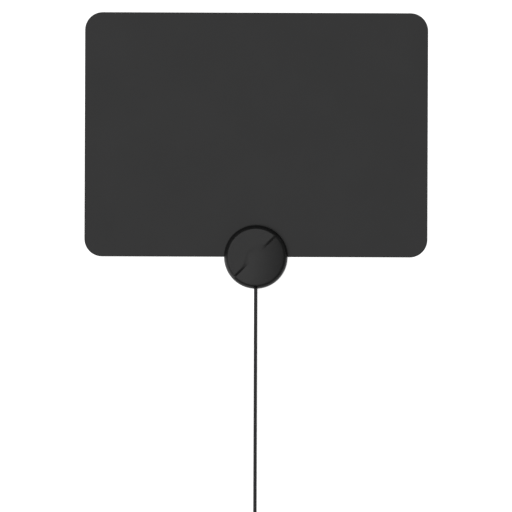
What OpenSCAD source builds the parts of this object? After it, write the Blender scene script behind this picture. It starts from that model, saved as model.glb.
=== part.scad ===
// Flat indoor TV antenna: a laminated sheet, a round hub on its lower edge and a thin coaxial lead.
// It lies on its back. X runs across the sheet, Y up the sheet and Z out of its face.
// The origin is on the surface it lies on, under the middle of sheet and hub together.

/* [Sheet] */
// Width of the sheet
sheet_w = 330; // [260:1:400]
// Height of the sheet
sheet_h = 235; // [180:1:300]
// Radius of the sheet's corners
sheet_corner_r = 17; // [6:0.5:30]
// Thickness of the front film
front_film_t = 0.3; // [0.2:0.05:0.5]
// Thickness of the rear film
rear_film_t = 0.3; // [0.2:0.05:0.5]
// Thickness of the bond layer and of the foils that lie in it
bond_t = 0.1; // [0.05:0.05:0.2]
// Strip of bond between the foils and the edge of the sheet
foil_margin = 10; // [6:1:20]
// Gap between the two foils along the middle of the sheet
foil_gap = 14; // [8:1:24]
// Width of the foil's arms
foil_arm_w = 42; // [20:1:60]
// Height of the lower arm above the sheet's lower edge
foil_base = 34; // [32:1:44]

/* [Hub] */
// Radius of the hub
hub_r = 30.6; // [27.5:0.1:34]
// Height of the hub's flat half above the surface
hub_h = 9.5; // [9.3:0.1:12]
// Width of the rounded shoulder round the hub's face
shoulder_w = 3.6; // [3:0.1:4.4]
// Drop of the domed half of the face at its edge
dome_drop = 2.1; // [1:0.1:2.4]
// Turn of the line that splits the face, up from the X axis
split_angle = 45; // [30:5:60]
// Radius of the rounded edge of the flat half along the split
split_round = 2.2; // [2.1:0.1:3]
// Upright stretch of the hub's side above its bonding flange
side_upright = 0.1; // [0.1:0.05:0.6]
// Wall of the front cover
hub_wall = 1.8; // [1.4:0.1:2]
// Thickness of the rear cover
rear_cover_t = 1.6; // [1.4:0.1:2]
// Width of the bonding flange and its tape
flange_w = 5.6; // [4.8:0.1:6]
// Thickness of the bonding flange
flange_t = 0.8; // [0.6:0.1:1.2]
// Thickness of the bonding tape
tape_t = 0.2; // [0.1:0.05:0.4]
// Width of the arch that the lead passes through
arch_w = 3.8; // [3.5:0.1:4.4]
// Height of the arch's top
arch_top = 7.2; // [6.6:0.1:7.4]
// Radius of the screw bosses
boss_r = 2.3; // [2:0.1:2.4]

/* [Contacts] */
// Width of the windows in the front film for the contacts
window_w = 6; // [5.6:0.1:6.4]
// Height of those windows
window_h = 5; // [4.6:0.1:5.4]
// Sheet between the windows and the notch that holds the rear cover
notch_rim = 1.5; // [1.2:0.1:2]
// Width of the contact strips
contact_w = 4; // [3:0.1:4.4]
// Thickness of the contact strips
contact_t = 0.25; // [0.15:0.05:0.3]

/* [Circuit board] */
// Gap between the board's ends and the notch's edge
board_gap = 1; // [0.8:0.1:1.5]
// Height of the board
board_h = 14.5; // [12:0.5:15]
// Thickness of the board
board_t = 0.8; // [0.6:0.1:1]
// Height of the pads that the board stands on
board_pad_h = 0.55; // [0.4:0.05:0.7]
// Outer radius of the ferrite ring
ferrite_r = 3.5; // [3:0.1:4]
// Bore radius of the ferrite ring
ferrite_bore_r = 1.75; // [1.5:0.05:2]
// Height of the ferrite ring
ferrite_h = 3; // [2:0.1:3.2]
// Thickness of the winding wire
wire_d = 0.35; // [0.2:0.05:0.4]
// Turns of each winding
turns = 5; // [3:1:6]

/* [Screws] */
// Shank radius of every screw
screw_r = 1; // [0.8:0.05:1.1]
// Head radius of the countersunk screws
csk_head_r = 1.9; // [1.7:0.05:2.1]
// Depth of the countersunk heads
csk_head_h = 0.9; // [0.8:0.05:1.1]
// Length of the countersunk screws
csk_screw_l = 5.2; // [4.5:0.1:5.4]
// Head radius of the clamp's screws
pan_head_r = 1.8; // [1.6:0.05:2]
// Head height of the clamp's screws
pan_head_h = 0.7; // [0.6:0.05:0.8]

/* [Lead] */
// Diameter of the lead
cord_d = 3.3; // [3.1:0.1:3.4]
// Diameter of the lead's inner insulation
insulation_d = 1.8; // [1.6:0.1:1.9]
// Diameter of the lead's inner wire
core_d = 0.6; // [0.4:0.05:0.7]
// Diameter of the twisted braid
braid_d = 0.8; // [0.6:0.1:0.9]
// Width of the clamp bar along the lead
clamp_w = 4; // [3.8:0.1:5]
// Plastic above the lead in the clamp bar
clamp_cover = 0.5; // [0.4:0.05:0.6]

/* [Coil] */
// Radius of the coil's outermost turn, at the middle of the lead
coil_r = 25.5; // [22:0.5:30]
// Turns in each layer of the coil
layer_turns = 3.4583; // [3:0.01:4]
// Layers of the coil
layers = 6; // [4:2:8]
// Thickness of the ties
tie_t = 0.6; // [0.4:0.1:1]
// Angle that each tie covers on the coil
tie_angle = 16; // [10:1:24]

/* [Plug] */
// Outer radius of the plug's metal sleeve
sleeve_r = 4.7625; // [4.5:0.0005:5]
// Wall of the metal sleeve
sleeve_wall = 0.6; // [0.4:0.05:0.8]
// Length of sleeve outside the plug's body
sleeve_l = 10; // [8:0.5:12]
// Radius of the plug's body
body_r = 5.5; // [5.4:0.1:6.5]
// Length of the plug's body
body_l = 15; // [12:0.5:20]
// Length of the tapered boot behind the body
boot_l = 17; // [14:0.5:24]
// Radius of the boot where the lead enters it
boot_r = 2.3; // [2:0.1:2.6]
// Radius of the plug's pin
pin_r = 1.2; // [1:0.05:1.4]
// Thickness of the insulator that holds the pin
insulator_t = 3; // [2:0.5:4]

/* [Hidden] */
$fn = 96;

fit = 0.2;
bore_fit = 0.05;
over = 1;

cord_r = cord_d / 2;
sheet_t = rear_film_t + bond_t + front_film_t;
hub_y = hub_r - (sheet_h + hub_r) / 2;
exit_y = hub_y - hub_r;
seat_z = sheet_t + tape_t;
side_start = seat_z + flange_t + side_upright;
cord_z = rear_cover_t + cord_r;

hub_face_r = hub_r - shoulder_w;
flange_in_r = hub_r - flange_w;
flat_side_r = side_arc(hub_h);
dome_side_r = side_arc(hub_h - dome_drop);
dome_r = (hub_face_r * hub_face_r + dome_drop * dome_drop) / (2 * dome_drop);
rib_t = 1.5;
rib_inset = 0.5;
rib_w = 10;
rib_y = hub_face_r - rib_inset;

foot_margin = 1;
flange_clear = 1.5;
window_out = flange_in_r - flange_clear;
window_in = window_out - window_w;
window_low = 1;
notch_r = window_in - notch_rim;
pad_rim = 0.8;
contact_y = window_low + window_h / 2;
contact_lap = 2.2;
contact_past = 0.5;
contact_foot = window_out - foot_margin;
contact_heel = window_in + foot_margin + contact_t;
foil_z = rear_film_t;
foil_top = rear_film_t + bond_t;

boss_angle = 44;
boss_inset = 0.6;
lower_boss_inset = 5.1;
upper_boss = (notch_r - boss_r - boss_inset) * [cos(boss_angle), sin(boss_angle)];
lower_boss = (hub_r - hub_wall - lower_boss_inset) * [cos(boss_angle), -sin(boss_angle)];
bosses = [[-upper_boss.x, upper_boss.y], upper_boss, [-lower_boss.x, lower_boss.y], lower_boss];
boss_bore_h = csk_screw_l + fit;
recess_w = 0.5;
recess_l = 1.9;
recess_depth = 0.6;

boss_clear = 1.3;
board_w = 2 * (notch_r - board_gap);
board_top_y = upper_boss.y - boss_r - boss_clear;
board_z = rear_cover_t + board_pad_h;
board_top = board_z + board_t;
board_bottom_y = board_top_y - board_h;
pad_r = 1.5;
pin_inset = [4, 2.5];
pin_x = board_w / 2 - pin_inset.x;
pin_y = board_top_y - pin_inset.y;
board_pin_r = 0.8;
board_pin_h = 0.5;
core_inset = 5;
core_y = board_top_y - core_inset;
core_z = board_top + wire_d;
turn_step = 18;
chip = [2, 1.25, 0.9];
chip_spread = 7;
chip_inset = 3.5;

clamp_gap = 6;
clamp_y = board_bottom_y - clamp_gap;
clamp_boss_x = 5;
clamp_boss_r = 2.1;
clamp_z = cord_z + bore_fit;
clamp_top = cord_z + cord_r + clamp_cover;
clamp_bar_l = 2 * (clamp_boss_x + clamp_boss_r);
clamp_floor = 0.6;
jacket_past = 1;
jacket_end = clamp_y + clamp_w / 2 + jacket_past;
strip_end = board_bottom_y - fit;
core_l = 4;
braid_x = 1.35;
braid_turn = 16;
braid_l = 7;

// The lead's route from the hub, each point as X, Y from the hub's rim, and height
lead_route = [[0, 0, 3.25], [0, -3, 3.25], [0, -7, 3.1], [0, -12, 2.7], [0, -17, 2.2],
    [0, -23, 1.8], [0, -30, 1.65], [0, -39, 1.65], [0, -48, 1.65], [0, -57, 1.65], [0, -66, 1.65],
    [0, -75, 1.65], [0, -84, 1.65], [0, -93, 1.65], [0, -102, 1.65], [0, -111, 1.65],
    [0, -120, 1.65], [0, -129, 1.65], [0, -138, 1.65], [0, -147, 1.65], [0, -156, 1.65],
    [0, -165, 1.65], [0, -174, 1.65], [0, -183, 1.65], [0, -192, 1.65], [0, -201, 1.65],
    [0, -210, 1.65], [0, -218, 1.65], [0, -225, 1.8], [0, -231, 2.1], [0, -235, 2.25],
    [0, -238, 2.25]];
coil_lead_in = 14;
coil_reach = 252;
coil_centre = [coil_r, -coil_reach];
coil_in_r = coil_r - layer_turns * cord_d;
coil_h = layers * cord_d;
tie_places = [45, 225];

// The route from the coil to the plug, each point from the place where the lead leaves the coil
tail_route = [[0, 0, 18.75], [2, 0, 18.75], [7, 0, 18.2], [12, 0, 16.6], [18, 0, 13.9],
    [24, 0, 11], [30, 0, 8.5], [36, 0, 6.7], [42, 0, 5.8], [48, 0, 5.5], [52, 0, 5.5]];
tail_start = [coil_centre.x + coil_lead_in, coil_centre.y - coil_r];
plug_place = [tail_start.x + tail_route[len(tail_route) - 1].x, tail_start.y, body_r];
tube_sides = 8;

sleeve_seat = 4;
boot_end_r = 3.7;
boot_grooves = 4;
groove_w = 1.3;
groove_depth = 0.5;
body_round = 1.2;
bead_w = 1.2;
bead_h = 0.25;
grip_grooves = 16;
grip_r = 0.35;
grip_l = 9;
pin_tip = pin_r;

// Radius of the side's arc that ends upright at side_start and passes the face's edge at a height
function side_arc(top) =
    (pow(hub_r - hub_face_r, 2) + pow(top - side_start, 2)) / (2 * (hub_r - hub_face_r));

// Height within the thickness of the domed roof, at a distance from the hub's middle
function in_roof(r) = hub_h - dome_r + sqrt(dome_r * dome_r - r * r) - hub_wall / 3;

// Direction of a route at one of its points
function heading(route, i) =
    let (a = route[max(i - 1, 0)], b = route[min(i + 1, len(route) - 1)]) (b - a) / norm(b - a);

// A ring of points round a route, square to it
function ring(route, i) =
    let (
        ahead = heading(route, i),
        side = cross(ahead, [0, 0, 1]) / norm(cross(ahead, [0, 0, 1])),
        up = cross(side, ahead)
    )
    [for (k = [0 : tube_sides - 1])
        let (a = 360 * (k + 0.5) / tube_sides)
        route[i] + cord_r * (cos(a) * side + sin(a) * up)];

module tube(route) {
    n = tube_sides;
    last = len(route) - 1;
    points = [for (i = [0 : last]) each ring(route, i)];
    start = [[for (k = [0 : n - 1]) n - 1 - k]];
    end = [[for (k = [0 : n - 1]) last * n + k]];
    sides = [for (i = [0 : last - 1], k = [0 : n - 1])
        [i * n + k, i * n + (k + 1) % n, (i + 1) * n + (k + 1) % n, (i + 1) * n + k]];
    polyhedron(points = points, faces = concat(start, end, sides));
}

// A plate in the plane of the sheet, between two heights
module layer(low, high) {
    translate([0, 0, low]) linear_extrude(high - low) children();
}

module at_hub() {
    translate([0, hub_y, 0]) children();
}

module at_exit() {
    translate([0, exit_y, 0]) children();
}

// The sheet's outline with the notch for the hub, from the middle of its lower edge
module sheet_outline() {
    corner_x = sheet_w / 2 - sheet_corner_r;
    difference() {
        union() {
            translate([-corner_x, 0]) square([2 * corner_x, sheet_h]);
            translate([-sheet_w / 2, sheet_corner_r])
                square([sheet_w, sheet_h - 2 * sheet_corner_r]);
            for (x = [-corner_x, corner_x], y = [sheet_corner_r, sheet_h - sheet_corner_r])
                translate([x, y]) circle(sheet_corner_r);
        }
        circle(notch_r);
    }
}

// One foil arm pair with its tail to the hub, on the right of the middle, grown by a margin
module foil_outline(grow) {
    inner = foil_gap / 2;
    outer = sheet_w / 2 - foil_margin;
    top = sheet_h - foil_margin;
    difference() {
        translate([inner - grow, foil_base - grow])
            square([outer - inner + 2 * grow, top - foil_base + 2 * grow]);
        translate([0, foil_base + foil_arm_w + grow])
            square([outer - foil_arm_w - grow, top - foil_base - 2 * (foil_arm_w + grow)]);
    }
    translate([window_in - pad_rim - grow, window_low - pad_rim / 2 - grow])
        square([window_w + 2 * (pad_rim + grow), foil_base + grow]);
}

// The space under the hub's outer surface, drawn in by an inset, with the split face on top
module hub_form(inset) {
    rotate_extrude() intersection() {
        side_profile(inset, dome_side_r);
        translate([0, hub_h - dome_r]) circle(dome_r - inset, $fn = 360);
    }
    intersection() {
        rotate_extrude() side_profile(inset, flat_side_r);
        rotate([0, 0, split_angle - 90]) flat_half(inset);
    }
}

// Half of the hub's section: an upright wall, then an arc that leans in to the face
module side_profile(inset, side_r) {
    intersection() {
        square([hub_r - inset, hub_h - inset]);
        union() {
            square([hub_r - side_r, hub_h]);
            square([hub_r - inset, side_start]);
            translate([hub_r - side_r, side_start]) circle(side_r - inset);
        }
    }
}

// A half space on one side of the split, with its upper edge rounded
module flat_half(inset) {
    round_r = split_round - inset;
    rotate([90, 0, 0]) linear_extrude(2 * hub_r, center = true) {
        translate([-hub_r, 0]) square([hub_r - split_round, hub_h]);
        translate([-hub_r, 0]) square([hub_r - inset, hub_h - split_round]);
        translate([-split_round, hub_h - split_round]) circle(max(round_r, fit));
    }
}

module cross_recess(depth) {
    for (turn = [0, 90])
        rotate([0, 0, turn]) translate([-recess_l / 2, -recess_w / 2, -over])
            cube([recess_l, recess_w, depth + over]);
}

module front_film() {
    color([0.045, 0.045, 0.047]) at_hub() layer(foil_top, sheet_t) difference() {
        sheet_outline();
        for (side = [-1, 1])
            translate([side > 0 ? window_in : -window_out, window_low])
                square([window_w, window_h]);
    }
}

module bond_film() {
    color([0.75, 0.75, 0.72]) at_hub() layer(rear_film_t, foil_top) difference() {
        sheet_outline();
        for (side = [0, 1]) mirror([side, 0]) foil_outline(bore_fit);
    }
}

module rear_film() {
    color([0.05, 0.05, 0.052]) at_hub() layer(0, rear_film_t) sheet_outline();
}

module element(side) {
    color([0.8, 0.8, 0.82]) at_hub() layer(foil_z, foil_top) mirror([side, 0]) foil_outline(0);
}

module bonding_ring() {
    color([0.85, 0.85, 0.8]) at_hub() layer(sheet_t, seat_z) intersection() {
        difference() {
            circle(hub_r - fit);
            circle(flange_in_r + fit);
        }
        translate([-hub_r, 0]) square([2 * hub_r, hub_r]);
    }
}

// Round cover with bosses for the screws, a flange that is taped to the sheet, and a rib and arch
// for the lead
module hub_front_cover() {
    color([0.05, 0.05, 0.052]) at_hub() difference() {
        union() {
            difference() {
                hub_form(0);
                hub_form(hub_wall);
                translate([0, 0, -over]) cylinder(r = hub_r - hub_wall, h = over + side_start / 2);
                arch();
            }
            cover_inside();
        }
        translate([-hub_r - over, -fit, -over])
            cube([2 * (hub_r + over), hub_r + 2 * over, seat_z + over]);
        for (place = bosses) translate(place)
            cylinder(r = screw_r + bore_fit, h = boss_bore_h);
    }
}

module arch() {
    side = arch_w / 2;
    translate([0, -rib_y, 0]) rotate([90, 0, 0]) linear_extrude(hub_r) {
        translate([-side, -over]) square([arch_w, arch_top - side + over]);
        translate([0, arch_top - side]) circle(side);
    }
}

module cover_inside() {
    for (place = bosses) translate([place.x, place.y, rear_cover_t])
        cylinder(r = boss_r, h = in_roof(norm(place) + boss_r) - rear_cover_t);
    translate([0, 0, seat_z]) intersection() {
        difference() {
            cylinder(r = hub_r - hub_wall / 2, h = flange_t);
            translate([0, 0, -over]) cylinder(r = flange_in_r, h = flange_t + 2 * over);
        }
        translate([-hub_r, -fit, 0]) cube([2 * hub_r, hub_r + fit, flange_t]);
    }
    difference() {
        translate([-rib_w / 2, -rib_y, rear_cover_t])
            cube([rib_w, rib_t, in_roof(norm([rib_w / 2, rib_y])) - rear_cover_t]);
        translate([0, -rib_y - over, cord_z]) rotate([-90, 0, 0])
            cylinder(r = cord_r + bore_fit, h = rib_t + 2 * over);
        translate([-cord_r - bore_fit, -rib_y - over, 0])
            cube([cord_d + 2 * bore_fit, rib_t + 2 * over, cord_z]);
    }
}

// Flat plate that closes the hub: its upper half fills the notch in the sheet, its lower half the
// inside of the front cover, and a tongue carries the lead out through the arch
module hub_rear_cover() {
    plate_r = hub_r - hub_wall - fit;
    color([0.055, 0.055, 0.057]) at_hub() difference() {
        union() {
            cylinder(r = notch_r - fit, h = rear_cover_t);
            intersection() {
                cylinder(r = plate_r, h = rear_cover_t);
                translate([-hub_r, -hub_r, 0]) cube([2 * hub_r, hub_r - fit, rear_cover_t]);
            }
            intersection() {
                cylinder(r = hub_r, h = rear_cover_t);
                translate([-arch_w / 2 + bore_fit, -hub_r, 0])
                    cube([arch_w - 2 * bore_fit, hub_r - plate_r + over, rear_cover_t]);
            }
            for (x = [-pin_x, pin_x]) {
                translate([x, pin_y, 0]) cylinder(r = pad_r, h = board_z);
                translate([x, pin_y, 0]) cylinder(r = board_pin_r, h = board_top + board_pin_h);
                translate([x, board_bottom_y + pad_r, 0]) cylinder(r = pad_r, h = board_z);
            }
            for (x = [-clamp_boss_x, clamp_boss_x])
                translate([x, clamp_y, 0]) cylinder(r = clamp_boss_r, h = clamp_z);
        }
        for (place = bosses) translate([place.x, place.y, -over]) {
            cylinder(r = screw_r + fit / 2, h = rear_cover_t + 2 * over);
            cylinder(r = csk_head_r + bore_fit, h = over + bore_fit);
        }
        for (place = bosses) translate([place.x, place.y, bore_fit])
            cylinder(r1 = csk_head_r + bore_fit, r2 = screw_r + bore_fit, h = csk_head_h);
        for (x = [-clamp_boss_x, clamp_boss_x]) translate([x, clamp_y, clamp_floor])
            cylinder(r = screw_r + bore_fit, h = clamp_z);
    }
}

module cover_screws() {
    color([0.6, 0.6, 0.62]) at_hub() for (place = bosses) translate(place) difference() {
        union() {
            cylinder(r1 = csk_head_r, r2 = screw_r, h = csk_head_h);
            cylinder(r = screw_r, h = csk_screw_l);
        }
        cross_recess(recess_depth);
    }
}

module circuit_board() {
    color([0.1, 0.35, 0.2]) at_hub() difference() {
        layer(board_z, board_top)
            translate([-board_w / 2, board_bottom_y]) square([board_w, board_h]);
        for (x = [-pin_x, pin_x]) translate([x, pin_y, 0])
            cylinder(r = board_pin_r + bore_fit, h = hub_h);
    }
}

// Strip bent down from the underside of the board to the foil, through the window in the film
module contact(side) {
    inner = board_w / 2 - contact_lap;
    bend = board_w / 2 + contact_past;
    color([0.85, 0.7, 0.35]) at_hub() mirror([side, 0, 0])
        translate([0, contact_y + contact_w / 2, 0]) rotate([90, 0, 0]) linear_extrude(contact_w)
            polygon([[inner, board_z], [inner, board_z - contact_t], [bend, board_z - contact_t],
                [contact_heel, foil_top], [contact_foot, foil_top],
                [contact_foot, foil_top + contact_t], [contact_heel + contact_t, foil_top + contact_t],
                [bend + contact_t, board_z]]);
}

module balun_core() {
    color([0.25, 0.25, 0.26]) at_hub() translate([0, core_y, core_z]) difference() {
        cylinder(r = ferrite_r, h = ferrite_h);
        translate([0, 0, -over]) cylinder(r = ferrite_bore_r, h = ferrite_h + 2 * over);
    }
}

module balun_winding() {
    loop_l = ferrite_r - ferrite_bore_r + 2 * bore_fit;
    loop_h = ferrite_h + 2 * bore_fit;
    color([0.7, 0.35, 0.15]) at_hub() translate([0, core_y, core_z])
        for (side = [0, 180], i = [0 : turns - 1])
            rotate([0, 0, side + (i - (turns - 1) / 2) * turn_step])
                translate([ferrite_bore_r - bore_fit, wire_d / 2, 0]) rotate([90, 0, 0])
                    linear_extrude(wire_d) difference() {
                        translate([-wire_d, -wire_d])
                            square([loop_l + 2 * wire_d, loop_h + 2 * wire_d - bore_fit]);
                        square([loop_l, loop_h - bore_fit]);
                    }
}

module chip_capacitors() {
    color([0.6, 0.5, 0.4]) at_hub() for (side = [-1, 1])
        translate([side * chip_spread - chip.x / 2, board_bottom_y + chip_inset, board_top])
            cube(chip);
}

module cable_clamp() {
    color([0.12, 0.12, 0.12]) at_hub() difference() {
        translate([-clamp_bar_l / 2, clamp_y - clamp_w / 2, clamp_z])
            cube([clamp_bar_l, clamp_w, clamp_top - clamp_z]);
        translate([0, clamp_y - clamp_w, cord_z]) rotate([-90, 0, 0])
            cylinder(r = cord_r, h = 2 * clamp_w);
        for (x = [-clamp_boss_x, clamp_boss_x]) translate([x, clamp_y, 0])
            cylinder(r = screw_r + fit / 2, h = hub_h);
    }
}

module clamp_screws() {
    color([0.6, 0.6, 0.62]) at_hub() for (x = [-clamp_boss_x, clamp_boss_x])
        translate([x, clamp_y, 0]) difference() {
            union() {
                translate([0, 0, clamp_top]) cylinder(r = pan_head_r, h = pan_head_h);
                translate([0, 0, clamp_floor + fit])
                    cylinder(r = screw_r, h = clamp_top - clamp_floor - fit);
            }
            translate([0, 0, clamp_top + pan_head_h]) mirror([0, 0, 1])
                cross_recess(pan_head_h / 2);
        }
}

// A round length of the lead inside the hub, between two distances from the hub's middle
module along_lead(diameter, from, to) {
    translate([0, from, cord_z]) rotate([-90, 0, 0]) cylinder(d = diameter, h = to - from);
}

module cord_stub() {
    color([0.04, 0.04, 0.042]) at_hub() along_lead(cord_d, -hub_r, jacket_end);
}

module coax_insulation() {
    color([0.9, 0.9, 0.88]) at_hub() along_lead(insulation_d, jacket_end, strip_end);
}

module coax_core() {
    lift = board_top + core_d / 2 - cord_z;
    color([0.75, 0.45, 0.25]) at_hub() translate([0, 0, lift])
        along_lead(core_d, strip_end, strip_end + core_l);
}

module coax_braid() {
    color([0.7, 0.7, 0.7]) at_hub() intersection() {
        translate([braid_x, jacket_end, board_top + braid_d / 2]) rotate([-90, 0, -braid_turn])
            translate([0, 0, -braid_d]) cylinder(d = braid_d, h = braid_l + braid_d);
        translate([0, jacket_end, 0]) cube([board_w, board_h, hub_h]);
    }
}

module cord_lead() {
    color([0.04, 0.04, 0.042]) at_exit() tube(lead_route);
}

// The wound lead as one closed ring, with the short stretches where the lead runs on and off it
module cord_coil() {
    color([0.04, 0.04, 0.042]) at_exit() translate([0, 0, tie_t]) {
        translate(coil_centre) rotate_extrude() translate([coil_in_r - cord_r, 0])
            square([coil_r - coil_in_r + cord_d, coil_h]);
        translate([-cord_r, coil_centre.y, 0]) cube([cord_d, coil_lead_in, cord_d]);
        translate([coil_centre.x, tail_start.y - cord_r, coil_h - cord_d])
            cube([coil_lead_in, cord_d, cord_d]);
    }
}

module cord_tail() {
    color([0.04, 0.04, 0.042]) at_exit() translate(tail_start) tube(tail_route);
}

module coil_ties() {
    in_r = coil_in_r - cord_r;
    out_r = coil_r + cord_r;
    color([0.03, 0.03, 0.032]) at_exit() translate(coil_centre) for (place = tie_places)
        rotate([0, 0, place - tie_angle / 2]) rotate_extrude(angle = tie_angle) difference() {
            translate([in_r - tie_t, 0]) square([out_r - in_r + 2 * tie_t, coil_h + 2 * tie_t]);
            translate([in_r, tie_t]) square([out_r - in_r, coil_h]);
        }
}

module at_plug() {
    at_exit() translate(plug_place) rotate([0, 90, 0]) children();
}

// Moulded body with a grooved boot behind it and grip grooves round it
module plug_body() {
    color([0.045, 0.045, 0.047]) at_plug() difference() {
        union() {
            cylinder(r1 = boot_r, r2 = boot_end_r, h = boot_l);
            translate([0, 0, boot_l]) rotate_extrude() {
                square([body_r - body_round, body_l]);
                translate([0, body_round]) square([body_r, body_l - 2 * body_round]);
                for (z = [body_round, body_l - body_round])
                    translate([body_r - body_round, z]) circle(body_round);
            }
        }
        for (i = [0 : boot_grooves - 1]) translate([0, 0, boot_l * (i + 1) / (boot_grooves + 1)])
            rotate_extrude() translate([boot_r + (boot_end_r - boot_r) * (i + 1)
                / (boot_grooves + 1) - groove_depth, 0]) square([boot_r, groove_w]);
        for (i = [0 : grip_grooves - 1]) rotate([0, 0, 360 * (i + 0.5) / grip_grooves])
            translate([body_r, 0, boot_l + (body_l - grip_l) / 2]) cylinder(r = grip_r, h = grip_l);
        translate([0, 0, boot_l + body_l - sleeve_seat])
            cylinder(r = sleeve_r, h = sleeve_seat + over);
    }
}

module plug_sleeve() {
    color([0.75, 0.75, 0.76]) at_plug() translate([0, 0, boot_l + body_l - sleeve_seat])
        difference() {
            union() {
                cylinder(r = sleeve_r, h = sleeve_seat + sleeve_l);
                translate([0, 0, sleeve_seat]) cylinder(r = sleeve_r + bead_h, h = bead_w);
            }
            translate([0, 0, -over])
                cylinder(r = sleeve_r - sleeve_wall, h = sleeve_seat + sleeve_l + 2 * over);
        }
}

module plug_insulator() {
    color([0.9, 0.9, 0.87]) at_plug() translate([0, 0, boot_l + body_l - sleeve_seat])
        difference() {
            cylinder(r = sleeve_r - sleeve_wall, h = insulator_t);
            translate([0, 0, -over]) cylinder(r = pin_r, h = insulator_t + 2 * over);
        }
}

module plug_pin() {
    pin_l = sleeve_seat + sleeve_l - pin_tip;
    color([0.75, 0.75, 0.76]) at_plug() translate([0, 0, boot_l + body_l - sleeve_seat]) {
        cylinder(r = pin_r, h = pin_l);
        translate([0, 0, pin_l]) sphere(pin_tip);
    }
}

rear_film();
bond_film();
element(1);  // element_left
element(0);  // element_right
front_film();
bonding_ring();
hub_front_cover();
hub_rear_cover();
cover_screws();
circuit_board();
contact(1);  // contact_left
contact(0);  // contact_right
balun_core();
balun_winding();
chip_capacitors();
cable_clamp();
clamp_screws();
cord_stub();
coax_insulation();
coax_core();
coax_braid();
cord_lead();
cord_coil();
cord_tail();
coil_ties();
plug_body();
plug_sleeve();
plug_insulator();
plug_pin();
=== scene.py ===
from math import cos, pi, radians, sin, tan, tau

import bmesh
import bpy
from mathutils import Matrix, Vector


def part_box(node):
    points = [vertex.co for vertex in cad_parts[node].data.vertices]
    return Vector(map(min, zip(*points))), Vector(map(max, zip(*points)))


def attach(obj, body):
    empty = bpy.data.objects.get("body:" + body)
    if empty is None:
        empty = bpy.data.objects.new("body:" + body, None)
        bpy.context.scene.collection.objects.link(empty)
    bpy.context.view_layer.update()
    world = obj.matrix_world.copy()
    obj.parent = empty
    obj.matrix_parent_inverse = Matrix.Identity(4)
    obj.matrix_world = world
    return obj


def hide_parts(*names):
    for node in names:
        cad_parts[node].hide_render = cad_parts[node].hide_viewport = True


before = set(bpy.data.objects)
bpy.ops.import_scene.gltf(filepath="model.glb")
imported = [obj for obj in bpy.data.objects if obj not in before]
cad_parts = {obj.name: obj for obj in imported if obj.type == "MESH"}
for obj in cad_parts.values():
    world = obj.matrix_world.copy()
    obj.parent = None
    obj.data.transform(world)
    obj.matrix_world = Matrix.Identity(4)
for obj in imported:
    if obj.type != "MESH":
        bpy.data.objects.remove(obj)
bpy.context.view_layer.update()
mm = 0.001

# View: the antenna lies on its back on a white table and is seen square on from above its face.
# A long lens keeps the sheet's edges straight, and the picture is turned a touch clockwise. The
# scale and the aim come from the sheet, which is this many pixels wide round this middle.
photo_px = 512
sheet_px = 343.0
sheet_centre_px = (255.8, 134.82)
lens = 600
sensor = 36
view_roll = radians(0.21)
sheet_low, sheet_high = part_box("front_film")
metres_per_px = (sheet_high.x - sheet_low.x) / sheet_px
aim = (sheet_low + sheet_high) / 2
aim.x -= (sheet_centre_px[0] - photo_px / 2) * metres_per_px
aim.y += (sheet_centre_px[1] - photo_px / 2) * metres_per_px
camera_data = bpy.data.cameras.new("camera")
camera_data.lens = lens
camera_data.sensor_width = sensor
camera = bpy.data.objects.new("camera", camera_data)
camera.location = (aim.x, aim.y, sheet_high.z + photo_px * metres_per_px * lens / sensor)
camera.rotation_euler = (0, 0, view_roll)
bpy.context.collection.objects.link(camera)
bpy.context.scene.camera = camera

# Aerial plug: a soft plastic body with a grooved bend relief, moulded onto the lead's end. A
# turned and nickel-plated sleeve springs over the socket, and an insulator holds the pin in it.


class Field:
    """One value in a node tree, so that a rule reads as plain arithmetic."""

    def __init__(self, tree, socket):
        self.tree = tree
        self.socket = socket

    def calc(self, operation, *others):
        node = self.tree.nodes.new("ShaderNodeMath")
        node.operation = operation
        for place, value in zip(node.inputs, (self, *others)):
            if isinstance(value, Field):
                self.tree.links.new(value.socket, place)
            else:
                place.default_value = value
        return Field(self.tree, node.outputs[0])

    def __add__(self, other):
        return self.calc("ADD", other)

    def __sub__(self, other):
        return self.calc("SUBTRACT", other)

    def __mul__(self, other):
        return self.calc("MULTIPLY", other)

    def __truediv__(self, other):
        return self.calc("DIVIDE", other)

    def __rsub__(self, other):
        return (self * -1) + other

    def __neg__(self):
        return self * -1

    def above(self, other):
        return self.calc("MAXIMUM", other)

    def below(self, other):
        return self.calc("MINIMUM", other)

    def share(self):
        return self.above(0.0).below(1.0)

    def soft_below(self, other, blend):
        gap = self - other
        return (self + other - (gap * gap + blend * blend).root()) * 0.5

    def root(self):
        return self.above(0.0).calc("SQRT")

    def size(self):
        return self.calc("ABSOLUTE")

    def floor(self):
        return self.calc("FLOOR")

    def sine(self):
        return self.calc("SINE")

    def cosine(self):
        return self.calc("COSINE")


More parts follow.
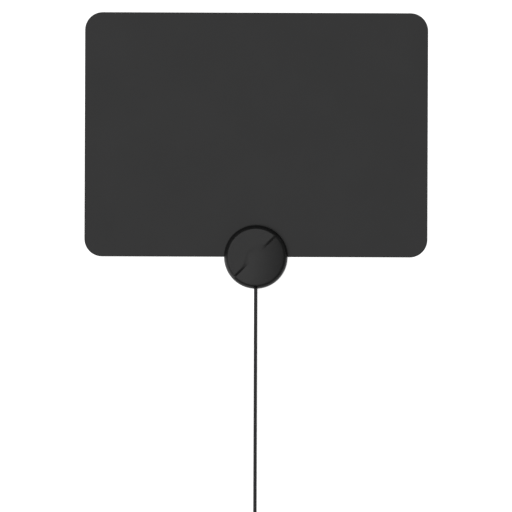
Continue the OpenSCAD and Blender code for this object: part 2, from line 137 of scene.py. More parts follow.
class Finish:
    """A material under construction: its shader, and the patterns that vary it over a piece."""

    def __init__(self, name, colour, roughness, **constants):
        self.material = bpy.data.materials.new(name)
        self.material.use_nodes = True
        self.tree = self.material.node_tree
        self.shader = self.tree.nodes["Principled BSDF"]
        self.shader.inputs["Base Color"].default_value = (*colour, 1)
        self.shader.inputs["Roughness"].default_value = roughness
        for socket, value in constants.items():
            self.shader.inputs[socket.replace("_", " ")].default_value = value
        self.place = self.tree.nodes.new("ShaderNodeTexCoord").outputs["Object"]

    def stretched(self, scale, centre=(0, 0, 0)):
        node = self.tree.nodes.new("ShaderNodeMapping")
        node.vector_type = "TEXTURE"
        node.inputs["Location"].default_value = centre
        node.inputs["Scale"].default_value = scale
        self.tree.links.new(self.place, node.inputs["Vector"])
        return node.outputs["Vector"]

    def axes(self, place=None):
        node = self.tree.nodes.new("ShaderNodeSeparateXYZ")
        self.tree.links.new(place or self.place, node.inputs[0])
        return [Field(self.tree, node.outputs[i]) for i in range(3)]

    def noise(self, size, detail=2, place=None):
        node = self.tree.nodes.new("ShaderNodeTexNoise")
        node.inputs["Scale"].default_value = 1 / size
        node.inputs["Detail"].default_value = detail
        self.tree.links.new(place or self.place, node.inputs["Vector"])
        return Field(self.tree, node.outputs["Fac"])

    def ramp(self, value, low, high, start=0.0, end=1.0):
        node = self.tree.nodes.new("ShaderNodeMapRange")
        node.inputs["From Min"].default_value = start
        node.inputs["From Max"].default_value = end
        node.inputs["To Min"].default_value = low
        node.inputs["To Max"].default_value = high
        self.tree.links.new(value.socket, node.inputs["Value"])
        return Field(self.tree, node.outputs["Result"])

    def tint(self, value, low, high):
        node = self.tree.nodes.new("ShaderNodeMix")
        node.data_type = "RGBA"
        node.inputs["A"].default_value = (*low, 1)
        node.inputs["B"].default_value = (*high, 1)
        self.tree.links.new(value.socket, node.inputs["Factor"])
        self.tree.links.new(node.outputs["Result"], self.shader.inputs["Base Color"])

    def gloss(self, value, low, high):
        rough = self.ramp(value, low, high)
        self.tree.links.new(rough.socket, self.shader.inputs["Roughness"])

    def relief(self, value, depth):
        node = self.tree.nodes.new("ShaderNodeBump")
        node.inputs["Distance"].default_value = depth
        self.tree.links.new(value.socket, node.inputs["Height"])
        self.tree.links.new(node.outputs["Normal"], self.shader.inputs["Normal"])


def shaded(colour, share):
    """The colour, darker or lighter by a share."""
    return [part * share for part in colour]


def moulded(name, colour, roughness, grain=0.25 * mm, depth=0.002 * mm, **constants):
    """Plastic from a mould: a fine even grain, and slow changes of gloss over it."""
    look = Finish(name, colour, roughness, **constants)
    slow = look.noise(size=14 * mm, detail=3)
    look.gloss(slow, low=roughness - 0.05, high=roughness + 0.05)
    look.tint(slow, low=shaded(colour, 0.86), high=shaded(colour, 1.14))
    look.relief(look.noise(size=grain), depth)
    return look.material


def turned(name, colour, roughness, axis_point, pull):
    """Metal with the fine lines that turning or drawing leaves: the noise in it is pulled long."""
    look = Finish(name, colour, roughness, Metallic=1.0)
    rings = look.noise(size=0.12 * mm, detail=1, place=look.stretched(pull, axis_point))
    look.gloss(rings, low=roughness - 0.06, high=roughness + 0.08)
    look.tint(look.noise(size=2 * mm), low=shaded(colour, 0.94), high=colour)
    look.relief(rings, depth=0.003 * mm)
    return look.material


def dress(node, material):
    """Gives a construction node its finish."""
    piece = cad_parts[node]
    if not piece.data.materials:
        piece.data.materials.append(material)
    for place in piece.material_slots:
        place.material = material
    return piece


boot_black = moulded("boot_plastic", (0.018, 0.018, 0.019), 0.42, Specular_IOR_Level=0.25)
insulator_white = moulded("insulator_plastic", (0.78, 0.77, 0.73), 0.4)
plug_low, plug_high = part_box("plug_body")
plug_axis = (plug_low + plug_high) / 2
nickel = turned("nickel_plating", (0.66, 0.64, 0.6), 0.2, plug_axis, (1, 40, 40))
plug_pieces = [dress("plug_body", boot_black), dress("plug_sleeve", nickel),
               dress("plug_pin", nickel), dress("plug_insulator", insulator_white)]

# Two straps hold the coil of spare lead: each is a woven nylon band, wound once round the turns,
# with its end lapped over its start on the outside, where hooks under the end grip the weave.
hub_low, hub_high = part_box("hub_front_cover")
hub_r = (hub_high.x - hub_low.x) / 2
exit_height = 3.25 * mm
lead_exit = Vector((0, sheet_low.y - hub_r, exit_height))
lead_d = 3.3 * mm
layers = 6
layer_turns = 3.4583
coil_reach = 252 * mm
coil_r = 25.5 * mm
coil_centre = lead_exit + Vector((coil_r, -coil_reach, 0))
strap_t = 0.6 * mm
strap_turns = [radians(45), radians(225)]
weld_distance = 0.002 * mm
strap_path_points = 140
strap_corner_steps = 6
band_corner_steps = 3
band_fills = 0.96
band_corner = 0.3
strap_sizes = {
    "Inner radius": coil_r - (layer_turns + 0.5) * lead_d,
    "Outer radius": coil_r + lead_d / 2,
    "Coil height": layers * lead_d,
    "Thickness": strap_t,
    "Width": 5.6 * mm,
    "Corner": lead_d / 2,
    "Lap starts": 0.75,
    "Lap ends": 0.93,
}


class Shape:
    """A geometry tree with named sizes, and the plain mesh that it makes."""

    def __init__(self, name, sizes):
        self.tree = bpy.data.node_groups.new(name, "GeometryNodeTree")
        face = self.tree.interface
        face.new_socket("Geometry", in_out="OUTPUT", socket_type="NodeSocketGeometry")
        face.new_socket("Geometry", in_out="INPUT", socket_type="NodeSocketGeometry")
        for size in sizes:
            face.new_socket(size, in_out="INPUT", socket_type="NodeSocketFloat")
        self.sizes = sizes
        self.given = self.tree.nodes.new("NodeGroupInput")
        self.name = name

    def node(self, kind, links=(), **values):
        node = self.tree.nodes.new(kind)
        for name, value in values.items():
            setattr(node, name, value)
        for place, source in dict(links).items():
            if isinstance(source, Field):
                source = source.socket
            if isinstance(source, bpy.types.NodeSocket):
                self.tree.links.new(source, node.inputs[place])
            else:
                node.inputs[place].default_value = source
        return node

    def size(self, name):
        return Field(self.tree, self.given.outputs[name])

    def field(self, kind, output=0, links=(), **values):
        return Field(self.tree, self.node(kind, links, **values).outputs[output])

    def point(self, x, y, z):
        return self.node("ShaderNodeCombineXYZ", {0: x, 1: y, 2: z}).outputs[0]

    def axes(self):
        place = self.node("ShaderNodeSeparateXYZ", {0: self.field("GeometryNodeInputPosition")})
        return [Field(self.tree, place.outputs[i]) for i in range(3)]

    def shell(self, columns, rows, place):
        """A closed skin of columns by rows, each corner placed by a rule, its faces outward."""
        grid = self.node("GeometryNodeMeshGrid", {"Vertices X": columns + 1, "Vertices Y": rows})
        index = self.field("GeometryNodeInputIndex")
        column = (index / rows).floor()
        set_out = self.node("GeometryNodeSetPosition", {
            "Geometry": grid.outputs["Mesh"], "Position": place(column, index - column * rows)})
        joined = self.node("GeometryNodeMergeByDistance", {"Geometry": set_out.outputs[0],
                                                           "Distance": weld_distance})
        return self.node("GeometryNodeFlipFaces", {"Mesh": joined.outputs[0]}).outputs[0]

    def make(self, piece_name, geometry, material, sharp_above=pi):
        """Sets the named sizes, evaluates the tree and leaves a plain mesh."""
        edge = self.field("GeometryNodeInputMeshEdgeAngle")
        curved = self.node("FunctionNodeCompare", {0: edge, 1: sharp_above}, operation="LESS_THAN")
        real = self.node("GeometryNodeRealizeInstances", {0: geometry})
        eased = self.node("GeometryNodeSetShadeSmooth", {
            "Geometry": real.outputs[0], "Shade Smooth": curved.outputs[0]}, domain="EDGE")
        faces = self.node("GeometryNodeSetShadeSmooth", {"Geometry": eased.outputs[0]})
        whole = self.node("GeometryNodeRealizeInstances", {0: faces.outputs[0]})
        painted = self.node("GeometryNodeSetMaterial", {0: whole.outputs[0], 2: material})
        self.node("NodeGroupOutput", {0: painted.outputs[0]})
        piece = bpy.data.objects.new(piece_name, bpy.data.meshes.new(piece_name))
        bpy.context.collection.objects.link(piece)
        change = piece.modifiers.new(self.name, "NODES")
        change.node_group = self.tree
        for item in self.tree.interface.items_tree:
            if item.in_out == "INPUT" and item.name in self.sizes:
                change[item.identifier] = float(self.sizes[item.name])
        seen = piece.evaluated_get(bpy.context.evaluated_depsgraph_get())
        mesh = bpy.data.meshes.new_from_object(seen)
        piece.modifiers.remove(change)
        piece.data = mesh
        mesh.name = piece_name
        return piece


def woven(name, colour, roughness, thread, depth):
    """Plain weave: warp and weft threads pass over and under each other along the band, with
    painted shade in the hollows and painted light on the raised threads.
    """
    look = Finish(name, colour, roughness, Sheen_Weight=0.25, Sheen_Roughness=0.4)
    lay = look.tree.nodes.new("ShaderNodeAttribute")
    lay.attribute_name = "weave"
    along, across, _ = look.axes(lay.outputs["Vector"])
    raised = (along * (pi / thread)).sine() * (across * (pi / thread)).sine() * 0.5 + 0.5
    # Painted shade and light: the colour follows the threads' height, darker in the hollows and
    # lighter on top.
    look.tint(raised, low=shaded(colour, 0.6), high=shaded(colour, 1.3))
    look.gloss(raised, low=roughness + 0.1, high=roughness - 0.05)
    look.relief(raised, depth)
    return look.material


strap = Shape("coil_strap", strap_sizes)
strap_in, strap_out = strap.size("Inner radius"), strap.size("Outer radius")
strap_thick, coil_top = strap.size("Thickness"), strap.size("Coil height")
band = strap.node("GeometryNodeCurvePrimitiveQuadrilateral", {
    "Width": strap_thick * band_fills, "Height": strap.size("Width")})
band_edge = strap.node("GeometryNodeFilletCurve", {
    "Curve": band.outputs[0], "Count": band_corner_steps,
    "Radius": strap_thick * band_corner}, mode="POLY")
band_marked = strap.node("GeometryNodeStoreNamedAttribute", {
    "Geometry": band_edge.outputs[0], "Name": "across", "Value": strap.axes()[1]},
    data_type="FLOAT", domain="POINT")


def wound(offset, start=None, end=None):
    """The band swept round the coil's section, this far out from it, whole or in part."""
    loop = strap.node("GeometryNodeCurvePrimitiveQuadrilateral", {
        "Width": strap_out - strap_in + offset * 2, "Height": coil_top + offset * 2})
    rounded = strap.node("GeometryNodeFilletCurve", {
        "Curve": loop.outputs[0], "Count": strap_corner_steps,
        "Radius": strap.size("Corner") + offset}, mode="POLY")
    path = strap.node("GeometryNodeResampleCurve", {"Curve": rounded.outputs[0],
                                                    "Count": strap_path_points})
    if start is not None:
        path = strap.node("GeometryNodeTrimCurve", {0: path.outputs[0], 2: start, 3: end})
    length = strap.field("GeometryNodeSplineParameter", "Length")
    marked = strap.node("GeometryNodeStoreNamedAttribute", {
        "Geometry": path.outputs[0], "Name": "along", "Value": length},
        data_type="FLOAT", domain="POINT")
    return strap.node("GeometryNodeCurveToMesh", {
        "Curve": marked.outputs[0], "Profile Curve": band_marked.outputs[0], "Fill Caps": True})


whole_turn = wound(strap_thick * 0.5)
lap = wound(strap_thick * 1.5, strap.size("Lap starts"), strap.size("Lap ends"))
both_laps = strap.node("GeometryNodeJoinGeometry")
for part in (whole_turn, lap):
    strap.tree.links.new(part.outputs[0], both_laps.inputs[0])
outward, upward, aside = strap.axes()
from_axis = outward + (strap_in + strap_out) * 0.5
swing = -aside / from_axis
bent = strap.node("GeometryNodeSetPosition", {
    "Geometry": both_laps.outputs[0],
    "Position": strap.point(from_axis * swing.cosine(), from_axis * swing.sine(),
                            upward + coil_top * 0.5 + strap_thick)})
lay_of_weave = [strap.field("GeometryNodeInputNamedAttribute", 0, {"Name": name}, data_type="FLOAT")
                for name in ("along", "across")]
laid = strap.node("GeometryNodeStoreNamedAttribute", {
    "Geometry": bent.outputs[0], "Name": "weave", "Value": strap.point(*lay_of_weave, 0)},
    data_type="FLOAT_VECTOR", domain="POINT")
strap_spots = strap.node("GeometryNodeMeshLine", {"Count": len(strap_turns), "Offset": (0, 0, 0)})
strap_turn = strap.field("GeometryNodeInputIndex") * (strap_turns[1] - strap_turns[0])
straps = strap.node("GeometryNodeInstanceOnPoints", {
    "Points": strap_spots.outputs[0], "Instance": laid.outputs[0],
    "Rotation": strap.point(0, 0, strap_turn + strap_turns[0])})
set_down = strap.node("GeometryNodeTransform", {
    "Geometry": straps.outputs[0], "Translation": (coil_centre.x, coil_centre.y, 0)})
strap_black = woven("strap_weave_painted_shade", (0.022, 0.022, 0.023), 0.62, 0.45 * mm, 0.08 * mm)
coil_straps = strap.make("coil_straps", set_down.outputs[0], strap_black)
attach(coil_straps, "root")
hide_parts("coil_ties")

# Lead: thin coaxial cable in a matt black vinyl jacket. It runs straight down from the hub, on
# along the table, into a round coil of the spare length, and out of the coil's top to the plug.
# Each point of a run is a reach and a height in mm, as in the construction.
lead_run = [(0, 3.25), (3, 3.25), (7, 3.1), (12, 2.7), (17, 2.2), (23, 1.8), (30, 1.65)]
lead_run += [(reach, 1.65) for reach in range(39, 211, 9)]
lead_run += [(218, 1.65), (225, 1.8), (231, 2.1), (235, 2.25), (238, 2.25)]
tail_run = [(2, 18.75), (7, 18.2), (12, 16.6), (18, 13.9), (24, 11), (30, 8.5), (36, 6.7)]
tail_run += [(42, 5.8), (48, 5.5), (52, 5.5)]
coil_lead_in = 14 * mm
climb_turns = 0.1
turn_points = 24


def coil_place(turn):
    """A point of the coil after so many turns, which fill one layer and climb to the next."""
    layer = min(int(turn / (layer_turns + climb_turns)), layers - 1)
    along = turn - layer * (layer_turns + climb_turns)
    across = min(along, layer_turns) * lead_d
    radius = coil_r - across if layer % 2 == 0 else coil_r - layer_turns * lead_d + across
    climb = max(along - layer_turns, 0) / climb_turns
    height = strap_t + lead_d * (layer + 0.5 + (1 - cos(pi * climb)) / 2)
    angle = pi + tau * turn
    place = (coil_centre.x + radius * cos(angle), coil_centre.y + radius * sin(angle), height)
    return Vector(place)


coil_turns = layers * layer_turns + (layers - 1) * climb_turns
coil_steps = round(coil_turns * turn_points)
route = [lead_exit + Vector((0, -reach * mm, height * mm - lead_exit.z))
         for reach, height in lead_run]
route += [coil_place(coil_turns * step / coil_steps) for step in range(coil_steps + 1)]
tail_start = route[-1] + Vector((coil_lead_in, 0, 0))
route.append(tail_start)
route += [Vector((tail_start.x + reach * mm, tail_start.y, height * mm))
          for reach, height in tail_run]

jacket_black = moulded("jacket_vinyl", (0.035, 0.035, 0.036), 0.55, grain=0.5 * mm,
                       depth=0.004 * mm, Specular_IOR_Level=0.07)
lead_curve = bpy.data.curves.new("lead", "CURVE")
lead_curve.dimensions = "3D"
lead_curve.bevel_depth = lead_d / 2
lead_curve.bevel_resolution = 6
lead_curve.resolution_u = 3
lead_curve.use_fill_caps = True
lead_spline = lead_curve.splines.new("BEZIER")
lead_spline.bezier_points.add(len(route) - 1)
for point, place in zip(lead_spline.bezier_points, route):
    point.co = place
    point.handle_left_type = "AUTO"
    point.handle_right_type = "AUTO"
lead_curve.materials.append(jacket_black)
lead = bpy.data.objects.new("lead", lead_curve)
bpy.context.collection.objects.link(lead)
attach(lead, "root")
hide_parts("cord_lead", "cord_coil", "cord_tail")

# Sheet: two matt black polyester films, pressed together over the foils. The press seals them
# round the rim, where a narrow band is left duller than the rest.
film_colour = (0.0385, 0.0385, 0.0388)
seal_w = 1.1 * mm
seal_dulls = 0.22
corner_r = 17 * mm
sheet_half = (sheet_high - sheet_low) / 2
sheet_mid = (sheet_high + sheet_low) / 2


def film(name, roughness):
    """Matt film: a very fine even grain, and a seal band along the rounded outline."""
    look = Finish(name, film_colour, roughness, Specular_IOR_Level=0.1)
    x, y, _ = look.axes(look.stretched((1, 1, 1), sheet_mid))
    past_x = (x.size() - (sheet_half.x - corner_r)).above(0.0)
    past_y = (y.size() - (sheet_half.y - corner_r)).above(0.0)
    inside = corner_r - (past_x * past_x + past_y * past_y).root()
    seal = look.ramp(inside, low=seal_dulls, high=0.0, end=seal_w)
    slow = look.noise(size=60 * mm)
    rough = look.ramp(slow, low=roughness - 0.02, high=roughness + 0.02) + seal
    look.tree.links.new(rough.socket, look.shader.inputs["Roughness"])
    look.tint(slow, low=shaded(film_colour, 0.9), high=shaded(film_colour, 1.1))
    look.relief(look.noise(size=0.2 * mm), depth=0.004 * mm)
    return look.material


dress("front_film", film("front_film_matt", 0.5))
dress("rear_film", film("rear_film_matt", 0.55))

# Adhesive: one clear pressure-sensitive layer between the films. It is cut out round the foils,
# and shows the tiny bubbles that the press leaves.
adhesive = Finish("adhesive", (0.62, 0.61, 0.56), 0.3, Transmission_Weight=0.35)
bubbles = adhesive.noise(size=0.9 * mm, detail=4)
adhesive.gloss(bubbles, low=0.22, high=0.42)
adhesive.tint(bubbles, low=(0.58, 0.57, 0.52), high=(0.66, 0.65, 0.61))
adhesive.relief(bubbles, depth=0.02 * mm)
dress("bond_film", adhesive.material)

# Foils: the two arms that receive, die-cut from rolled aluminium and laid into the adhesive. The
# rolls leave fine lines along the foil's length.
foil = Finish("aluminium_foil", (0.8, 0.8, 0.81), 0.3, Metallic=1.0)
rolled = foil.noise(size=0.6 * mm, detail=3, place=foil.stretched((1, 30, 1)))
foil.gloss(rolled, low=0.22, high=0.4)
foil.tint(rolled, low=(0.74, 0.74, 0.75), high=(0.84, 0.84, 0.85))
foil.relief(rolled, depth=0.004 * mm)
dress("element_left", foil.material)
dress("element_right", foil.material)

# Bonding ring: a half ring of double-sided foam tape, which holds the hub's flange down on the
# sheet. Its cut faces show the foam's closed cells.
dress("bonding_ring", moulded("foam_tape", (0.7, 0.7, 0.66), 0.7, grain=0.4 * mm,
                              depth=0.05 * mm))

# Hub cover: one satin black moulding. Its face is split along a diagonal: the upper left half is
# flat, the lower right half a shallow dome that falls away from it, so a sloped step grows from
# nothing at the middle. The shoulder round both is an arc that ends upright.
hub_centre_y = sheet_low.y
hub_sizes = {
    "Radius": hub_r,
    "Height": hub_high.z,
    "Shoulder": 3.6 * mm,
    "Dome drop": 2.1 * mm,
    "Upright": 1.8 * mm,
    "Wall": 1.8 * mm,
    "Step width": 2.4 * mm,
    "Step fades at": 12.5 * mm,
    "Flat edge blend": 0.1 * mm,
    "Dome edge blend": 0.15 * mm,
    "Split turn": radians(45),
}
quarter_columns = 80
face_rows = 50
shoulder_rows = 32
upright_rows = 3
outer_rows = face_rows + shoulder_rows + upright_rows
skin_rows = 2 * outer_rows + 2
crowding = 0.8
hub = Shape("hub_cover_rule", hub_sizes)
radius, shoulder = hub.size("Radius"), hub.size("Shoulder")
face_r = radius - shoulder


def side(top, reach):
    """Height of the side under a face whose edge has this height: an arc, upright at its foot."""
    rise = top - hub.size("Upright")
    arc_r = (shoulder * shoulder + rise * rise) / (shoulder * 2)
    from_centre = reach.above(face_r) - radius + arc_r
    arc = hub.size("Upright") + (arc_r * arc_r - from_centre * from_centre).root()
    lean = (arc_r - shoulder) / rise
    return arc + (face_r - reach).above(0.0) * lean


def cover_place(column, path_row):
    """A corner of the cover's skin: its columns crowd together at both ends of the split, and its
    rows run out over the face, down the side, and back along the inside of the wall."""
    half = ((column + quarter_columns) / (2 * quarter_columns)).floor()
    offset = (column - half * 2 * quarter_columns) / quarter_columns
    spread = (offset * (1 - crowding) + offset * offset * offset * crowding) * (pi / 2)
    half_turn = half.calc("MODULO", 2) * pi
    turn = hub.size("Split turn") + half_turn + spread
    across = -(half_turn + spread).sine()
    row = path_row.below(skin_rows - 1 - path_row)
    inner = path_row.calc("GREATER_THAN", outer_rows + 0.5)
    on_face = (row.below(face_rows) / face_rows * (pi / 2)).sine()
    on_shoulder = (((row - face_rows) / shoulder_rows).share() * (pi / 2)).sine()
    on_upright = (row - face_rows - shoulder_rows).above(0.0) / upright_rows
    reach = face_r * on_face + shoulder * on_shoulder
    full, drop = hub.size("Height"), hub.size("Dome drop")
    dome_r = (face_r * face_r + drop * drop) / (drop * 2)
    dome = full - dome_r + (dome_r * dome_r - reach * reach).root()
    flat_half = side(full, reach).soft_below(full, hub.size("Flat edge blend"))
    domed_half = side(full - drop, reach).soft_below(dome, hub.size("Dome edge blend"))
    fade = hub.size("Step fades at") / reach.above(mm)
    step_w = hub.size("Step width") * (fade * fade * fade * fade + 1)
    on_flat = ((-across * reach / step_w).share() * (pi / 2)).sine()
    height = (domed_half + (flat_half - domed_half) * on_flat) * (1 - on_upright)
    inset = inner * hub.size("Wall")
    skin_reach = reach - inset * on_shoulder
    return hub.point(skin_reach * turn.cosine(), skin_reach * turn.sine() + hub_centre_y,
                     height - inset * (1 - on_shoulder))


cover_black = moulded("cover_plastic", (0.007, 0.007, 0.0072), 0.42, Specular_IOR_Level=0.3)
hub_cover = hub.make("hub_cover", hub.shell(4 * quarter_columns, skin_rows, cover_place),
                     cover_black)


def made_of_faces(name, points, faces, material):
    """A flat-sided mesh, its faces turned outward."""
    mesh = bpy.data.meshes.new(name)
    mesh.from_pydata(points, [], faces)
    mesh.materials.append(material)
    shape = bmesh.new()
    shape.from_mesh(mesh)
    bmesh.ops.recalc_face_normals(shape, faces=shape.faces)
    shape.to_mesh(mesh)
    shape.free()
    piece = bpy.data.objects.new(name, mesh)
    bpy.context.collection.objects.link(piece)
    return piece


def cut_away(piece, name, outline, low, high, axis):
    """Takes a straight-sided block out of a piece: an outline carried from low to high."""
    points = [(a, b, level) if axis == "Z" else (a, level, b)
              for level in (low, high) for a, b in outline]
    count = len(outline)
    faces = [tuple(range(count)), tuple(range(2 * count - 1, count - 1, -1))]
    faces += [(i, count + i, count + (i + 1) % count, (i + 1) % count) for i in range(count)]
    cutter = made_of_faces(name, points, faces, piece.data.materials[0])
    cut = piece.modifiers.new(name, "BOOLEAN")
    cut.object = cutter
    cut.solver = "EXACT"
    seen = piece.evaluated_get(bpy.context.evaluated_depsgraph_get())
    mesh = bpy.data.meshes.new_from_object(seen)
    piece.modifiers.clear()
    piece.data = mesh
    bpy.data.objects.remove(cutter)


# The half over the sheet stands on it, and an arch lets the lead out at the foot.
seat_z = 0.9 * mm
seat_edge = 0.2 * mm
wide = 2 * hub_r
cut_away(hub_cover, "seat", [(-wide, hub_centre_y - seat_edge), (wide, hub_centre_y - seat_edge),
                             (wide, hub_centre_y + wide), (-wide, hub_centre_y + wide)],
         -mm, seat_z, "Z")
arch_half = 1.9 * mm
arch_top = 7.2 * mm
arch_in = 4.5 * mm
arch_steps = 16
arch = [(-arch_half, -mm), (arch_half, -mm)]
arch += [(arch_half * cos(pi * step / arch_steps),
          arch_top - arch_half + arch_half * sin(pi * step / arch_steps))
         for step in range(arch_steps + 1)]
cut_away(hub_cover, "arch", arch, lead_exit.y - mm, lead_exit.y + arch_in, "Y")
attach(hub_cover, "root")
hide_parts("hub_front_cover")

# Rear cover: the flat black moulding that closes the hub. It is let into the sheet's notch flush
# with the back, and four screws pull it to the front cover.
dress("hub_rear_cover", moulded("rear_cover_plastic", (0.016, 0.016, 0.0163), 0.5,
                                Specular_IOR_Level=0.25))

# Screws: zinc-plated steel with a rolled thread and a cross recess. Four countersunk ones hold
# the rear cover, and two with flat round heads hold the clamp over the lead.
screw_r = 1 * mm
thread_pitch = 0.5 * mm
thread_depth = 0.16 * mm
recess_l = 1.9 * mm
recess_w = 0.5 * mm
screw_columns = 28
head_rows = 4
pitch_rows = 6
thread_ends = 12
sharp_edge = radians(35)


def screws(name, node, head_r, foot_r, head_h, length, recess_h, places, head_up):
    """Like screws, each with the face of its head at its place and its shank down or up."""
    thread_rows = round((length - head_h) / thread_pitch) * pitch_rows
    rule = Shape(name, {"Head radius": head_r, "Foot radius": foot_r, "Head height": head_h,
                        "Length": length, "Shank radius": screw_r, "Pitch": thread_pitch,
                        "Thread depth": thread_depth})
    head, foot, shank = (rule.size(part + " radius") for part in ("Head", "Foot", "Shank"))

    def place(column, row):
        turn = column * (tau / screw_columns)
        over_face = (row / head_rows).share()
        down_head = ((row - head_rows) / head_rows).share()
        to_shank = (row - 2 * head_rows).share()
        down_shank = ((row - 2 * head_rows - 1) / thread_rows).share()
        over_tip = (row - 2 * head_rows - 1 - thread_rows).share()
        depth = rule.size("Head height") * down_head
        depth = depth + (rule.size("Length") - rule.size("Head height")) * down_shank
        wave = (depth / rule.size("Pitch") + column / screw_columns).calc("PINGPONG", 0.5) * 2
        threaded = ((down_shank * thread_ends).share()
                    * ((1 - down_shank) * thread_ends).share())
        width = head * over_face + (foot - head) * down_head + (shank - foot) * to_shank
        width = (width - rule.size("Thread depth") * wave * threaded) * (1 - over_tip)
        return rule.point(width * turn.cosine(), -width * turn.sine(), depth)

    body = rule.shell(screw_columns, 2 * head_rows + thread_rows + 3, place)
    spots = rule.node("GeometryNodeJoinGeometry")
    for spot in places:
        point = rule.node("GeometryNodeMeshLine", {"Count": 1, "Start Location": spot})
        rule.tree.links.new(point.outputs[0], spots.inputs[0])
    set_in = rule.node("GeometryNodeInstanceOnPoints", {
        "Points": spots.outputs[0], "Instance": body,
        "Rotation": rule.point(pi if head_up else 0.0, 0.0, 0.0)})
    piece = rule.make(name, set_in.outputs[0], zinc, sharp_edge)
    arms = [(recess_w, recess_w), (recess_w, recess_l), (-recess_w, recess_l),
            (-recess_w, recess_w), (-recess_l, recess_w), (-recess_l, -recess_w)]
    arms += [(-x, -y) for x, y in arms]
    for x, y, z in places:
        cross = [(x + out / 2, y + over / 2) for out, over in arms]
        inside, outside = (z - recess_h, z + mm) if head_up else (z + recess_h, z - mm)
        cut_away(piece, "recess", cross, min(inside, outside), max(inside, outside), "Z")
    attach(piece, "root")
    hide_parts(node)


zinc = turned("screw_zinc", (0.52, 0.53, 0.55), 0.3, (0, 0, 0), (40, 40, 1))
sunk_head_r = 1.9 * mm
sunk_low, sunk_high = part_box("cover_screws")
lower_x, lower_y = sunk_high.x - sunk_head_r, sunk_low.y + sunk_head_r
upper_y = sunk_high.y - sunk_head_r
upper_screws_angle = radians(44)
upper_x = (upper_y - hub_centre_y) / tan(upper_screws_angle)
screws("rear_screws", "cover_screws", head_r=sunk_head_r, foot_r=screw_r, head_h=0.9 * mm,
       length=sunk_high.z, recess_h=0.6 * mm, head_up=False,
       places=[(way * x, y, 0) for x, y in ((upper_x, upper_y), (lower_x, lower_y))
               for way in (-1, 1)])
pan_low, pan_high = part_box("clamp_screws")
pan_head_r = (pan_high.y - pan_low.y) / 2
pan_x = pan_high.x - pan_head_r
screws("clamp_pan_screws", "clamp_screws", head_r=pan_head_r, foot_r=pan_head_r,
       head_h=0.7 * mm, length=pan_high.z - pan_low.z, recess_h=0.35 * mm, head_up=True,
       places=[(way * pan_x, (pan_low.y + pan_high.y) / 2, pan_high.z) for way in (-1, 1)])

# Circuit board: glass cloth and resin under a green solder mask. It sits on pegs of the rear
# cover, and joins the foils' contacts, the transformer and the lead.
yarn = 0.4 * mm
mask = Finish("board_mask", (0.012, 0.09, 0.04), 0.3)
mask_x, mask_y, _ = mask.axes()
cloth = (mask_x * (pi / yarn)).sine() * (mask_y * (pi / yarn)).sine() * 0.5 + 0.5
mask.tint(cloth, low=(0.01, 0.08, 0.034), high=(0.014, 0.1, 0.046))
mask.gloss(mask.noise(size=3 * mm), low=0.25, high=0.36)
mask.relief(cloth, depth=0.01 * mm)
dress("circuit_board", mask.material)

# Contacts: two strips of spring bronze, bent down from the board to the foils through a window
# in the front film.
bronze = turned("contact_bronze", (0.72, 0.5, 0.24), 0.3, (0, 0, 0), (30, 1, 1))
dress("contact_left", bronze)
dress("contact_right", bronze)

# Matching transformer: a pressed ferrite ring, wound on either side with five turns of enamelled
# copper wire that run on from one another round the ring.
dress("balun_core", moulded("ferrite", (0.04, 0.04, 0.043), 0.55, grain=0.3 * mm,
                            depth=0.03 * mm))
core_low, core_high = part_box("balun_core")
core_mid = (core_low + core_high) / 2
coil_low, coil_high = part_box("balun_winding")
wire_d = 0.35 * mm
wire_gap = 0.05 * mm
core_bore_r = 1.75 * mm
core_r = (core_high.x - core_low.x) / 2
wire_turns = 5
turn_steps = 48
wire_points = 360
wire_sides = 8
wind = Shape("winding_rule", {
    "Wire": wire_d, "Turns": wire_turns, "Spread": radians(72), "Squareness": 12,
    "Middle radius": (core_bore_r + core_r) / 2,
    "Half width": (core_r - core_bore_r) / 2 + wire_gap + wire_d / 2,
    "Half height": (coil_high.z - coil_low.z - wire_d) / 2})
wire_line = wind.node("GeometryNodeMeshLine", {"Count": wire_turns * turn_steps + 1,
                                               "Offset": (0, 0, 0)})
wound_on = wind.field("GeometryNodeInputIndex") / turn_steps
swing_in, swing_up = (wound_on * tau).cosine(), (wound_on * tau).sine()
square = 2 / wind.sizes["Squareness"]
wire_out = swing_in.calc("SIGN") * swing_in.size().calc("POWER", square)
wire_up = swing_up.calc("SIGN") * swing_up.size().calc("POWER", square)
wire_reach = wind.size("Middle radius") + wire_out * wind.size("Half width")
wire_turn = (wound_on / wind.size("Turns") - 0.5) * wind.size("Spread")
wire_path = wind.node("GeometryNodeSetPosition", {
    "Geometry": wire_line.outputs[0],
    "Position": wind.point(wire_reach * wire_turn.cosine(), wire_reach * wire_turn.sine(),
                           wire_up * wind.size("Half height"))})
wire_curve = wind.node("GeometryNodeMeshToCurve", {0: wire_path.outputs[0]})
even_wire = wind.node("GeometryNodeResampleCurve", {"Curve": wire_curve.outputs[0],
                                                    "Count": wire_points})
wire_round = wind.node("GeometryNodeCurvePrimitiveCircle", {
    "Resolution": wire_sides, "Radius": wind.size("Wire") * 0.5})
wire = wind.node("GeometryNodeCurveToMesh", {
    "Curve": even_wire.outputs[0], "Profile Curve": wire_round.outputs[0], "Fill Caps": True})
two_sides = wind.node("GeometryNodeMeshLine", {"Count": 2, "Offset": (0, 0, 0)})
windings = wind.node("GeometryNodeInstanceOnPoints", {
    "Points": two_sides.outputs[0], "Instance": wire.outputs[0],
    "Rotation": wind.point(0, 0, wind.field("GeometryNodeInputIndex") * pi)})
on_core = wind.node("GeometryNodeTransform", {
    "Geometry": windings.outputs[0],
    "Translation": (core_mid.x, core_mid.y, (coil_low.z + coil_high.z) / 2)})
copper = turned("enamelled_copper", (0.62, 0.24, 0.08), 0.28, (0, 0, 0), (1, 1, 10))
winding = wind.make("winding", on_core.outputs[0], copper)
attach(winding, "root")
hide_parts("balun_winding")

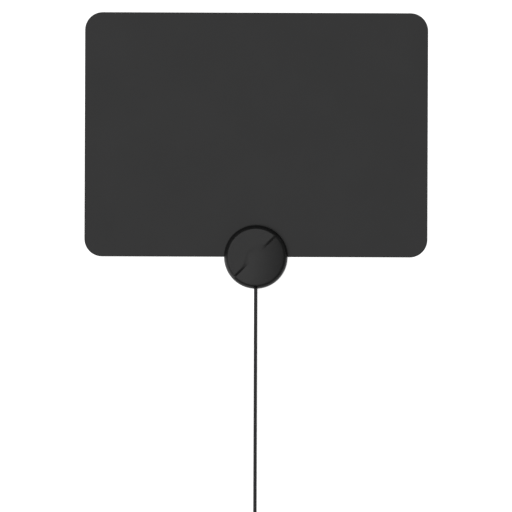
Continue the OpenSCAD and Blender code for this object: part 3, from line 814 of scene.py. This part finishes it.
# Chip capacitors: two fired ceramic blocks, each with a tinned cap on either end by which it is
# soldered to the board.
chips_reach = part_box("chip_capacitors")[1].x
chip_l = 2 * mm
cap_l = 0.35 * mm
cap_blend = 0.025 * mm
ceramic_brown = (0.28, 0.2, 0.12)
chip = Finish("chip_ceramic", ceramic_brown, 0.4)
chip_x = chip.axes()[0]
from_middle = (chip_x.size() - (chips_reach - chip_l / 2)).size()
cap = ((from_middle - (chip_l / 2 - cap_l)) / cap_blend).share()
chip.tint(cap, low=ceramic_brown, high=(0.6, 0.6, 0.58))
chip.gloss(cap, low=0.45, high=0.25)
chip.relief(chip.noise(size=0.2 * mm), depth=0.01 * mm)
dress("chip_capacitors", chip.material)

# Cable clamp: a black nylon saddle, screwed down over the lead's jacket so that a pull on the
# lead never reaches the board.
dress("cable_clamp", moulded("clamp_nylon", (0.02, 0.02, 0.02), 0.45))

# End of the lead inside the hub: the jacket, darker and duller than the lead's as painted shade in
# the arch, then the white insulation, the copper core on its pad, and the tinned braid twisted
# aside.
# Painted shade: the stub is far darker than the same jacket outside, so the arch over it reads as
# shade.
dress("cord_stub", moulded("stub_painted_shade", (0.006, 0.006, 0.0062), 0.6, grain=0.5 * mm,
                           depth=0.004 * mm, Specular_IOR_Level=0.05))
dress("coax_insulation", insulator_white)
dress("coax_core", copper)
strand = 0.15 * mm
braid = Finish("tinned_braid_painted_shade", (0.6, 0.6, 0.6), 0.35, Metallic=1.0)
braid_x, braid_y, _ = braid.axes()
one_way, other_way = [(slope * (pi / strand)).sine()
                      for slope in (braid_x + braid_y, braid_x - braid_y)]
plait = one_way * other_way
# Painted shade and light: the strands are darker in the hollows of the plait and lighter on its
# crossings.
braid.tint(plait * 0.5 + 0.5, low=(0.4, 0.4, 0.4), high=(0.66, 0.66, 0.65))
braid.gloss(plait, low=0.45, high=0.3)
braid.relief(plait, depth=0.04 * mm)
dress("coax_braid", braid.material)

# Table and surround: a white table, which the camera sees as plain white and which shows white
# in gloss too. It is lit by the lamp like the antenna, and keeps its soft shadow.
table_half = 30
table_level = 0.7
room_level = 0.18
table_white = bpy.data.materials.new("white_table")
table = made_of_faces("table", [(-table_half, -table_half, 0), (table_half, -table_half, 0),
                                (table_half, table_half, 0), (-table_half, table_half, 0)],
                      [(0, 1, 2, 3)], table_white)
table_white.use_nodes = True
nodes, links = table_white.node_tree.nodes, table_white.node_tree.links
nodes.clear()
paint = nodes.new("ShaderNodeBsdfDiffuse")
paint.inputs["Color"].default_value = (table_level, table_level, table_level, 1)
glow = nodes.new("ShaderNodeEmission")
rays = nodes.new("ShaderNodeLightPath")
seen, mirrored, through = [Field(table_white.node_tree, rays.outputs["Is " + kind + " Ray"])
                           for kind in ("Camera", "Glossy", "Transmission")]
shown = (seen + mirrored + through).below(1.0) * table_level
links.new(shown.socket, glow.inputs["Strength"])
both = nodes.new("ShaderNodeAddShader")
links.new(paint.outputs[0], both.inputs[0])
links.new(glow.outputs[0], both.inputs[1])
links.new(both.outputs[0], nodes.new("ShaderNodeOutputMaterial").inputs["Surface"])
world = bpy.data.worlds.new("room")
bpy.context.scene.world = world
world.use_nodes = True
nodes, links = world.node_tree.nodes, world.node_tree.links
rays = nodes.new("ShaderNodeLightPath")
level = Field(world.node_tree, rays.outputs["Is Camera Ray"]) * (1 - room_level) + room_level
links.new(level.socket, nodes["Background"].inputs["Strength"])
nodes["Background"].inputs["Color"].default_value = (1, 1, 1, 1)

# Lamp: one large softbox overhead. It hangs to the left, so that slopes which face right or away
# fall off its reflection and darken, as on the hub's dome and shoulder.
lamp_side = 15
lamp_place = (-5.7, -0.1, 12)
lamp_radiance = 2.2
lamp_data = bpy.data.lights.new("overhead", "AREA")
lamp_data.shape = "SQUARE"
lamp_data.size = lamp_side
lamp_data.energy = lamp_radiance * pi * lamp_side * lamp_side
lamp = bpy.data.objects.new("overhead", lamp_data)
lamp.location = lamp_place
lamp.visible_camera = False
bpy.context.collection.objects.link(lamp)

# Colours are shown as they are.
bpy.context.scene.view_settings.view_transform = "Standard"
